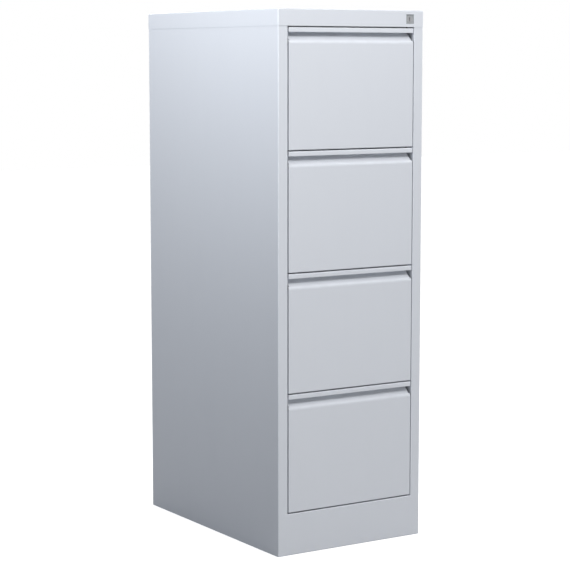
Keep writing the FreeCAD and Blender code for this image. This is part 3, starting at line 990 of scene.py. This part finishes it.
# ---- Drawers ----
@dataclass
class Drawer:
    """Front, tray and back of one drawer."""

    shop: Workshop
    number: int
    sheet: float = 0.8 * MM
    hem_bend: float = 0.9 * MM
    hem_return: float = 8 * MM
    lip_height: float = 11.4 * MM
    lip_edge_bend: float = 2.4 * MM
    corner_bend: float = 1.6 * MM
    tight_bend: float = 1.0 * MM
    grip_drop: float = 33.3 * MM
    grip_depth: float = 26 * MM
    ridge_bend: float = 10 * MM
    end_gap: float = 3 * MM
    end_start: float = 3.2 * MM
    front_flange: float = 17 * MM
    back_flange: float = 12 * MM
    catch_rise: float = 198 * MM
    catch_height: float = 10 * MM
    catch_window: float = 9.8 * MM
    catch_play: float = 1.5 * MM
    catch_bend: float = 0.9 * MM

    def __post_init__(self) -> None:
        """Reads the drawer's planes from the frame."""
        self.front_low, self.front_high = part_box(f"drawer_{self.number}_front")
        self.tray_low, self.tray_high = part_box(f"drawer_{self.number}_tray")
        self.back_low, self.back_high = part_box(f"drawer_{self.number}_back")
        self.wall_half = -self.tray_low.x

    def build(self) -> None:
        """Builds the drawer's sheet pieces."""
        self.shop.finish(self.front(), f"drawer_{self.number}_front")
        self.shop.finish(self.tray(), f"drawer_{self.number}_tray")
        self.shop.finish(self.back(), f"drawer_{self.number}_back")

    def front(self) -> Draft:
        """Hemmed lip, finger grip, ridge and face in one sheet, and a flange down each side."""
        draft = Draft()
        half = self.sheet / 2
        low, high = self.front_low, self.front_high
        face = low.y + half
        grip_back = low.y + self.grip_depth
        ridge = high.z - self.grip_drop
        lip_foot = high.z - self.lip_height
        path = [
            (face + 2 * self.hem_bend, lip_foot + self.hem_return),
            (face + 2 * self.hem_bend, lip_foot + half),
            (face, lip_foot + half),
            (face, high.z - half),
            (low.y + self.end_start, high.z - half),
            (grip_back, high.z - half),
            (grip_back, ridge + grip_back - face),
            (face, ridge),
            (face, low.z + half),
            (low.y + self.front_flange, low.z + half),
        ]
        bends = [
            self.hem_bend, self.hem_bend, self.lip_edge_bend, 0.0, self.corner_bend,
            self.corner_bend, self.ridge_bend, self.corner_bend,
        ]
        narrow = high.x - self.end_gap

        def notched(u: float, v: float, w: float) -> bool:
            """Whether the grip's ends are cut away here."""
            return abs(w) > narrow and v > ridge and u > low.y + self.end_start

        columns = (low.x, -narrow, narrow, high.x)
        FoldedSheet(self.sheet, Fold.ALONG_X).add(draft, path, bends, columns, notched)
        ridge_start = ridge - self.ridge_bend * math.tan(RIDGE_TURN / 2)
        flange = FoldedSheet(self.sheet, Fold.ALONG_Z)
        for side in (-1, 1):
            middle = side * (high.x - half)
            path = [(middle, face + half), (middle, low.y + self.front_flange)]
            flange.add(draft, path, [], (low.z + half, ridge_start))
        return draft

    def tray(self) -> Draft:
        """Floor and sides with hemmed rims, and the lanced catch on the right side."""
        draft = Draft()
        half = self.sheet / 2
        low, high = self.tray_low, self.tray_high
        wall = self.wall_half - half
        rim = high.z - half
        floor = low.z + half
        hem = wall - 2 * self.hem_bend
        catch_low = self.front_low.z + self.catch_rise
        catch_high = catch_low + self.catch_height
        left = [(-hem, rim - self.hem_return), (-hem, rim), (-wall, rim), (-wall, floor)]
        right = [(wall, floor), (wall, catch_low), (wall, catch_high), (wall, rim), (hem, rim)]
        right.append((hem, rim - self.hem_return))
        bends = [self.hem_bend, self.hem_bend, self.corner_bend, self.corner_bend, 0.0, 0.0]
        bends += [self.hem_bend, self.hem_bend]
        hook_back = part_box("bar_hooks")[1].y
        catch_start = hook_back + self.catch_play
        window = (catch_start + self.sheet, catch_start + self.sheet + self.catch_window)

        def lanced(u: float, v: float, w: float) -> bool:
            """Whether this is the window that the catch was bent out of."""
            return u > wall - half and catch_low < v < catch_high and window[0] < w < window[1]

        FoldedSheet(self.sheet, Fold.ALONG_Y).add(
            draft, left + right, bends, (low.y, *window, high.y), lanced
        )
        tab = FoldedSheet(self.sheet, Fold.ALONG_Z, wear_reach=1.5 * MM)
        middle = catch_start + half
        tab.add(
            draft,
            [(wall, middle + self.tight_bend), (wall, middle), (high.x, middle)],
            [self.catch_bend],
            (catch_low, catch_high),
        )
        return draft

    def back(self) -> Draft:
        """Rear wall with a flange at its foot and its top."""
        draft = Draft()
        half = self.sheet / 2
        low, high = self.back_low, self.back_high
        rear = high.y - self.back_flange
        path = [(low.y, low.z + half), (rear, low.z + half), (rear, high.z - half)]
        path.append((high.y, high.z - half))
        FoldedSheet(self.sheet, Fold.ALONG_X).add(
            draft, path, [self.tight_bend] * 2, (low.x, high.x)
        )
        return draft


# ---- Slides ----
@dataclass
class Slides:
    """Rails of the telescopic slides, roll-formed from strip."""

    shop: Workshop
    sheet: float = 1.2 * MM
    bend: float = 1.5 * MM

    def build(self) -> None:
        """Builds the fixed, middle and drawer rails on both sides of every drawer."""
        for number in DRAWERS:
            for stem, web_outside in (
                (f"fixed_rail_{number}", True),
                (f"middle_rail_{number}", True),
                (f"drawer_{number}_rail", False),
            ):
                right = self.channel(f"{stem}_right", web_outside)
                self.shop.finish(right, f"{stem}_right")
                self.shop.finish(right.mirrored(), f"{stem}_left")

    def channel(self, node: str, web_outside: bool) -> Draft:
        """One right-hand rail.

        Args:
            node: its CAD node.
            web_outside: whether its web is on the side away from the drawer.

        Returns:
            The rail.
        """
        low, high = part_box(node)
        half = self.sheet / 2
        web, lips = (high.x - half, low.x) if web_outside else (low.x + half, high.x)
        foot, head = low.z + half, high.z - half
        draft = Draft()
        FoldedSheet(self.sheet, Fold.ALONG_Y).add(
            draft,
            [(lips, foot), (web, foot), (web, head), (lips, head)],
            [self.bend, self.bend],
            (low.y, high.y),
        )
        return draft


# ---- Studio ----
@dataclass(frozen=True)
class Softbox:
    """One soft studio light."""

    name: str
    place: Colour
    target: Colour
    size: tuple[float, float]
    power: float
    colour: Colour = (1.0, 1.0, 1.0)

    def build(self) -> None:
        """Hangs the light, unseen by the camera."""
        data = bpy.data.lights.new(self.name, "AREA")
        data.shape = "RECTANGLE"
        data.size, data.size_y = self.size
        data.energy = self.power
        data.color = self.colour
        lamp = place_in_scene(self.name, data)
        lamp.location = self.place
        aim = Vector(self.target) - Vector(self.place)
        lamp.rotation_euler = aim.to_track_quat("-Z", "Y").to_euler()
        lamp.visible_camera = False


@dataclass
class Studio:
    """Pale floor, soft light and the camera."""

    floor_half: float = 14.0
    camera_place: Colour = (-2.4807, -3.9062, 1.1683)
    camera_yaw: float = 32.531
    camera_pitch: float = -6.966
    lens: float = 116.72
    sensor_width: float = 36.0
    overhead_power: float = 1.5
    overhead_spread: float = 70.0
    overhead_tilt: tuple[float, float] = (8.0, -1.0)
    overhead_height: float = 4.0
    sky_level: float = 0.20
    floor_white: float = 0.9
    floor_return: float = 0.4
    floor_lift: float = 0.5
    floor_roughness: float = 0.9
    floor_specular: float = 0.1
    softboxes: tuple[Softbox, ...] = (
        Softbox(
            "side_key", (-2.0, -0.4, 1.9), (-1.0, -0.2, 2.9), (0.7, 1.4), 60.0, (0.99, 1.0, 1.01)
        ),
        Softbox(
            "front_key", (-0.3, -2.0, 2.7), (-0.25, -0.9, 2.5), (1.4, 0.9), 38.0,
            (1.01, 1.0, 0.99),
        ),
        Softbox("front_fill", (0.3, -4.0, 0.6), (0.1, -1.0, 0.6), (2.0, 1.6), 28.0),
        Softbox("side_fill", (-4.0, 0.3, 0.5), (-1.0, 0.1, 0.5), (1.6, 1.6), 5.0, (0.6, 1.0, 1.6)),
        Softbox("right_key", (2.2, 0.0, 1.9), (1.2, 0.0, 2.5), (1.2, 1.4), 45.0),
        Softbox("rear_key", (0.2, 2.5, 1.9), (0.2, 1.5, 2.5), (1.4, 1.2), 45.0),
    )

    def build(self) -> None:
        """Sets up the whole studio."""
        self.floor()
        self.sky()
        for softbox in self.softboxes:
            softbox.build()
        self.overhead()
        self.camera()
        bpy.context.scene.view_settings.view_transform = "Standard"

    def floor(self) -> None:
        """Lays a plain pale floor."""
        reach = self.floor_half
        mesh = bpy.data.meshes.new("studio_floor")
        corners = [(-reach, -reach, 0), (reach, -reach, 0), (reach, reach, 0), (-reach, reach, 0)]
        mesh.from_pydata(corners, [], [(0, 1, 2, 3)])
        material = bpy.data.materials.new("studio_floor")
        material.use_nodes = True
        shader = material.node_tree.nodes["Principled BSDF"]
        shader.inputs["Roughness"].default_value = self.floor_roughness
        shader.inputs["Specular IOR Level"].default_value = self.floor_specular
        shader.inputs["Emission Color"].default_value = (1.0, 1.0, 1.0, 1.0)
        rays = material.node_tree.nodes.new("ShaderNodeLightPath")
        for low, high, socket in (
            (self.floor_return, self.floor_white, shader.inputs["Base Color"]),
            (0.0, self.floor_lift, shader.inputs["Emission Strength"]),
        ):
            level = material.node_tree.nodes.new("ShaderNodeMapRange")
            level.inputs["To Min"].default_value = low
            level.inputs["To Max"].default_value = high
            material.node_tree.links.new(rays.outputs["Is Camera Ray"], level.inputs["Value"])
            material.node_tree.links.new(level.outputs["Result"], socket)
        mesh.materials.append(material)
        place_in_scene("studio_floor", mesh)

    def sky(self) -> None:
        """White all round for the camera, and dimmer for what it lights."""
        world = bpy.data.worlds.new("studio_sky")
        bpy.context.scene.world = world
        world.use_nodes = True
        tree = world.node_tree
        backdrop = tree.nodes["Background"]
        backdrop.inputs["Color"].default_value = (1.0, 1.0, 1.0, 1.0)
        rays = tree.nodes.new("ShaderNodeLightPath")
        level = tree.nodes.new("ShaderNodeMapRange")
        level.inputs["To Min"].default_value = self.sky_level
        level.inputs["To Max"].default_value = 1.0
        tree.links.new(rays.outputs["Is Camera Ray"], level.inputs["Value"])
        tree.links.new(level.outputs["Result"], backdrop.inputs["Strength"])

    def overhead(self) -> None:
        """Broad even light from above, which whitens the floor."""
        data = bpy.data.lights.new("overhead", "SUN")
        data.energy = self.overhead_power
        data.angle = math.radians(self.overhead_spread)
        lamp = place_in_scene("overhead", data)
        lamp.rotation_euler = Euler(
            (math.radians(self.overhead_tilt[0]), math.radians(self.overhead_tilt[1]), 0)
        )
        lamp.location = (0.0, 0.0, self.overhead_height)

    def camera(self) -> None:
        """Places the camera."""
        data = bpy.data.cameras.new("camera")
        data.lens = self.lens
        data.sensor_width = self.sensor_width
        camera = place_in_scene("camera", data)
        camera.location = self.camera_place
        camera.rotation_euler = Euler(
            (math.radians(90 + self.camera_pitch), 0.0, math.radians(-self.camera_yaw))
        )
        bpy.context.scene.camera = camera


def main() -> None:
    """Builds the cabinet and its studio."""
    logging.basicConfig(level=logging.INFO, format="%(name)s %(message)s")
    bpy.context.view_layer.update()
    shop = Workshop()
    Carcass(shop).build()
    for number in DRAWERS:
        Drawer(shop, number).build()
    Slides(shop).build()
    shop.dress_rest()
    Studio().build()


if __name__ == "__main__":
    main()
